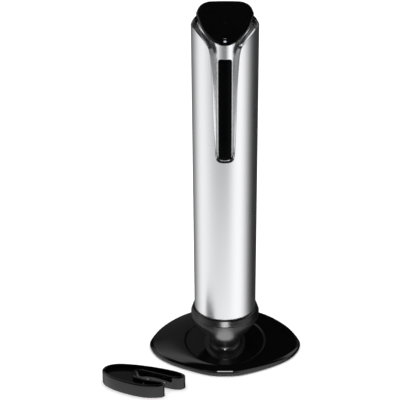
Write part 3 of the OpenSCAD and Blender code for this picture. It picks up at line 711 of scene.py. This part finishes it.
def make_pillar():
    """The flared pillar between the plate and the docking cup."""
    sheet = Sheet()
    rows = []
    for z, a, b in open_curve(PILLAR_ROWS, 5):
        rows.append([(a * math.sin(2 * math.pi * k / SIDES), -b * math.cos(2 * math.pi * k / SIDES), z)
                     for k in range(SIDES)])
    sheet.grid(rows, closed=True)
    return sheet.piece("pillar", "stand", FINISH["pillar_black"], ["stand_pillar"], "gloss_black")


def make_cup():
    """The docking cup: a bright bevelled lip over a fine groove."""
    sheet = Sheet()
    profile = [(0.01, 32.7), (24.2, 32.7), (24.9, 33.3), (26.2, 35.6), (26.2, 38), (27.2, 38),
               (27.3, 38.25), (27.75, 38.3), (27.9, 38.45), (27.9, 38.65), (27.75, 39.2), (27.3, 40.4),
               (26.9, 41.6), (26.6, 42.5), (26.4, 43.05), (26.22, 43.38), (26, 43.55), (25.8, 43.58),
               (25.55, 43.45), (25.42, 43.15), (25.4, 42.7), (25.4, 34.9), (0.01, 34.9)]
    sheet.grid(lathe(profile), closed=True)
    return sheet.piece("cup", "stand", FINISH["cup_black"], ["docking_cup"], "gloss_black", angle=30)


def make_spring(side):
    """A charging pin's coil spring, wound between the ends of its CAD part's box."""
    node = "contact_spring_" + side
    low, high = [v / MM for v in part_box(node)]
    wire = 0.16
    coil = (high.x - low.x) / 2 - wire
    middle = (low.x + high.x) / 2
    rows = []
    for k in range(SPRING_TURNS * SPRING_STEPS + 1):
        a = 2 * math.pi * k / SPRING_STEPS
        z = lerp(low.z + wire, high.z - wire, k / (SPRING_TURNS * SPRING_STEPS))
        rows.append([(middle + (coil + wire * c) * math.cos(a), (coil + wire * c) * math.sin(a), z + wire * s)
                     for c, s in ((math.cos(b), math.sin(b)) for b in WIRE_ANGLES)])
    sheet = Sheet()
    sheet.grid(rows, closed=True)
    sheet.cap(rows[0])
    sheet.cap(rows[-1])
    obj = sheet.piece("spring_" + side, "stand", FINISH["steel"], [node], "steel", angle=50)
    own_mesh(obj)


# ---------- foil cutter ----------

CUTTER = closed_curve(CUTTER_KEYS, 10)


def cutter_ring(d, z):
    """The cutter's outline set in by d at height z, in place on the table."""
    n = len(CUTTER)
    ring = []
    for i, (x, y) in enumerate(CUTTER):
        tx, ty = (CUTTER[(i + 1) % n][c] - CUTTER[i - 1][c] for c in (0, 1))
        size = math.hypot(tx, ty)
        px, py = rotated((x + ty / size * d, y - tx / size * d), CUTTER_TURN)
        ring.append((px + CUTTER_AT[0], py + CUTTER_AT[1], z))
    return ring


def make_cutter():
    """The foil cutter's hollow body with a raised rim round its sunk top."""
    sheet = Sheet()
    h = CUTTER_H
    roof = h - 3.4
    under = [cutter_ring(d, z) for d, z in ((1.6, roof), (1.6, 0.3), (1.4, 0), (0.3, 0), (0.05, 0.2))]
    side = [cutter_ring(0, 0.5), cutter_ring(0, h / 2), cutter_ring(0, h - 1.2)]
    roll = [cutter_ring(1.1 * (1 - math.cos(a)), h - 1.2 + 1.2 * math.sin(a))
            for a in (math.pi / 2 * k / 6 for k in range(1, 7))]
    rim = [cutter_ring(d, h - drop) for d, drop in ((1.55, 0), (1.75, 0.08), (1.9, 0.3), (2.1, 0.42))]
    sheet.grid([*under, *side, *roll, *rim], closed=True)
    sheet.cap(rim[-1])
    sheet.cap(under[0], flip=True)
    return sheet.piece("cutter", "foil_cutter", FINISH["gloss_black"], ["foil_cutter_body"], "gloss_black",
                       angle=35)


# ---------- studio ----------

def make_floor():
    """The plain pale floor, which the object's own surfaces don't mirror."""
    mesh = bpy.data.meshes.new("floor")
    half = 6.0
    corners = [(-half, -half, 0), (half, -half, 0), (half, half, 0), (-half, half, 0)]
    mesh.from_pydata(corners, [], [(0, 1, 2, 3)])
    mesh.materials.append(finish("floor", (0.93, 0.93, 0.93), vary=0.005, rough=(0.7, 0.8), grain=30,
                                 relief=0.01, blotch=2, specular=0.1))
    floor = bpy.data.objects.new("floor", mesh)
    bpy.context.scene.collection.objects.link(floor)
    floor.location.z = -0.0002
    floor.visible_glossy = False


def ramp(tree, value, stops):
    """Brightness along a value from 0 to 1."""
    node = tree.nodes.new("ShaderNodeValToRGB")
    node.color_ramp.interpolation = "EASE"
    points = node.color_ramp.elements
    for place_at, level in stops[1:-1]:
        points.new(place_at).color = (level, level, level, 1)
    for point, (place_at, level) in ((points[0], stops[0]), (points[-1], stops[-1])):
        point.position = place_at
        point.color = (level, level, level, 1)
    tree.links.new(value, node.inputs["Fac"])
    return node.outputs["Color"]


def calculate(tree, operation, a, b):
    node = tree.nodes.new("ShaderNodeMath")
    node.operation = operation
    for socket, value in zip(node.inputs, (a, b)):
        if isinstance(value, (int, float)):
            socket.default_value = value
        else:
            tree.links.new(value, socket)
    return node.outputs["Value"]


def turns(a, b):
    """Two azimuths in degrees as shares of a turn, with 0.5 at the front."""
    return a / 360 + 0.5, b / 360 + 0.5


def window(tree, value, rise, fall):
    """1 between two soft edges and 0 outside them."""
    sides = []
    for low, high in (rise, fall):
        node = tree.nodes.new("ShaderNodeMapRange")
        node.interpolation_type = "SMOOTHSTEP"
        node.inputs["From Min"].default_value = low
        node.inputs["From Max"].default_value = high
        tree.links.new(value, node.inputs["Value"])
        sides.append(node.outputs["Result"])
    return calculate(tree, "SUBTRACT", *sides)


def make_world():
    """An even pale room for the camera and the floor, and a shaped studio for reflections."""
    world = bpy.data.worlds.new("studio")
    bpy.context.scene.world = world
    world.use_nodes = True
    tree = world.node_tree
    where = tree.nodes.new("ShaderNodeTexCoord")
    parts = tree.nodes.new("ShaderNodeSeparateXYZ")
    tree.links.new(where.outputs["Generated"], parts.inputs[0])
    forward = calculate(tree, "MULTIPLY", parts.outputs["Y"], -1)
    turn = calculate(tree, "ARCTAN2", parts.outputs["X"], forward)
    share = calculate(tree, "ADD", calculate(tree, "DIVIDE", turn, 2 * math.pi), 0.5)
    left = [(-180, 0.15), (-160, 0.12), (-146, 0.16), (-126, 0.4), (-110, 0.78), (-96, 1.02)]
    right = [(75, 0.78), (85, 0.48), (95, 0.2), (106, 0.07), (120, 0.02), (156, 0.02), (170, 0.1),
             (180, 0.15)]
    low = [*left, (-60, 1.0), (-30, 1.08), (0, 1.2), (40, 1.15), (62, 1.1), *right]
    high = [*left, (-76, 1.0), (-60, 0.8), (-42, 0.46), (-22, 0.24), (-4, 0.15), (8, 0.19), (18, 0.44),
            (28, 0.86), (44, 1.14), (60, 1.12), *right]
    fade = calculate(tree, "MULTIPLY_ADD", parts.outputs["Z"], 8.5)
    fade.node.inputs[2].default_value = 4.25
    fade.node.use_clamp = True
    around = tree.nodes.new("ShaderNodeMix")
    around.data_type = "RGBA"
    tree.links.new(fade, around.inputs["Factor"])
    for socket, table in (("A", low), ("B", high)):
        tree.links.new(ramp(tree, share, [(a / 360 + 0.5, v) for a, v in table]), around.inputs[socket])
    z = parts.outputs["Z"]
    front = window(tree, share, turns(-112, -84), turns(84, 112))
    level = tree.nodes.new("ShaderNodeMix")
    tree.links.new(front, level.inputs["Factor"])
    tree.links.new(window(tree, z, (-2, -1.5), (-0.3, -0.05)), level.inputs["A"])
    tree.links.new(window(tree, z, (-2, -1.5), (-0.1, 0.2)), level.inputs["B"])
    studio = calculate(tree, "MULTIPLY", around.outputs["Result"], level.outputs["Result"])
    boxes = [(turns(-178, -140), turns(-120, -95), (0.45, 0.75), (0.9, 1.0), 1.1),
             (turns(-128, -118), turns(-88, -74), (0.02, 0.2), (0.6, 0.85), 0.7),
             (turns(74, 88), turns(118, 128), (0.02, 0.2), (0.6, 0.85), 1.2),
             (turns(114, 126), turns(150, 166), (0.1, 0.2), (0.42, 0.55), 0.12),
             (turns(-179.9, -179), turns(-165, -152), (-0.4, -0.2), (0.6, 0.75), 0.11)]
    for rise, fall, up, down, strength in boxes:
        spot = calculate(tree, "MULTIPLY", window(tree, share, rise, fall), window(tree, z, up, down))
        studio = calculate(tree, "ADD", studio, calculate(tree, "MULTIPLY", spot, strength))
    path = tree.nodes.new("ShaderNodeLightPath")
    plain = tree.nodes.new("ShaderNodeBackground")
    plain.inputs["Color"].default_value = (1, 1, 1, 1)
    plain.inputs["Strength"].default_value = 1.0
    shaped = tree.nodes.new("ShaderNodeBackground")
    tree.links.new(studio, shaped.inputs["Color"])
    mix = tree.nodes.new("ShaderNodeMixShader")
    tree.links.new(path.outputs["Is Glossy Ray"], mix.inputs["Fac"])
    tree.links.new(plain.outputs[0], mix.inputs[1])
    tree.links.new(shaped.outputs[0], mix.inputs[2])
    tree.links.new(mix.outputs[0], tree.nodes["World Output"].inputs["Surface"])


def make_light(name, at, towards, size, power, lit=None):
    """A soft box, for the pieces in lit alone if they are given."""
    light = bpy.data.lights.new(name, "AREA")
    light.shape = "RECTANGLE"
    light.size, light.size_y = size
    light.energy = power
    obj = bpy.data.objects.new(name, light)
    bpy.context.scene.collection.objects.link(obj)
    obj.location = at
    obj.rotation_euler = (Vector(towards) - Vector(at)).to_track_quat("-Z", "Y").to_euler()
    obj.visible_camera = False
    obj.visible_glossy = lit is not None
    if lit:
        group = bpy.data.collections.new(name + "_lit")
        for piece in lit:
            group.objects.link(piece)
        obj.light_linking.receiver_collection = group


def make_lights(stand, cutter):
    """A soft light overhead, and soft boxes for the stand and the cutter alone."""
    make_light("overhead", (0, 0, 1.6), (0, 0, 0), (1.6, 1.6), 16)
    make_light("front_strip", (0, -1.1, 0.1), (0, 0, 0.03), (0.4, 0.42), 7.5, stand)
    make_light("table_glow", (0, -0.07, 0.0095), (0, -0.07, 1), (0.026, 0.092), 0.027, stand)
    make_light("cutter_strip", (-0.3, -1.1, 0.1), (-0.065, 0, 0.0), (0.6, 0.3), 0.6, cutter)


def make_camera():
    """The camera, in front of the stand and above it, looking down on the opener."""
    camera = bpy.data.cameras.new("camera")
    camera.lens = 100.985
    camera.sensor_width = 36
    camera.shift_x = -0.0625
    camera.shift_y = 0.00125
    camera.clip_end = 50
    obj = bpy.data.objects.new("camera", camera)
    bpy.context.scene.collection.objects.link(obj)
    obj.location = (0, -0.7914, 0.5248)
    obj.rotation_euler = (math.pi / 2 - 0.4542, 0, 0)
    bpy.context.scene.camera = obj


# ---------- the whole ----------

FINISH["mark"] = finish("mark", (0.1, 0.1, 0.11), rough=(0.3, 0.4), relief=0.02)
FINISH["switch_black"] = finish("switch_black", (0.0006, 0.0006, 0.0007), rough=(0.16, 0.22), relief=0.03,
                                grain=500, specular=0.05)
FINISH["cup_black"] = finish("cup_black", (0.0015, 0.0015, 0.0018), rough=(0.23, 0.27), relief=0.02,
                             grain=400, specular=0.7)
FINISH["pillar_black"] = finish("pillar_black", (0.0012, 0.0012, 0.0015), rough=(0.34, 0.4), relief=0.02,
                                grain=400, specular=0.6)
dress_nodes()
make_sleeve()
make_bezel()
make_cap()
make_cap_mark()
make_rocker()
stand_pieces = [make_shell(), make_pillar(), make_cup(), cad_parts["charge_led"]]
for side in ("left", "right"):
    make_spring(side)
cutter_piece = make_cutter()
make_floor()
make_world()
make_lights(stand_pieces, [cutter_piece])
make_camera()
bpy.context.scene.view_settings.view_transform = "Standard"
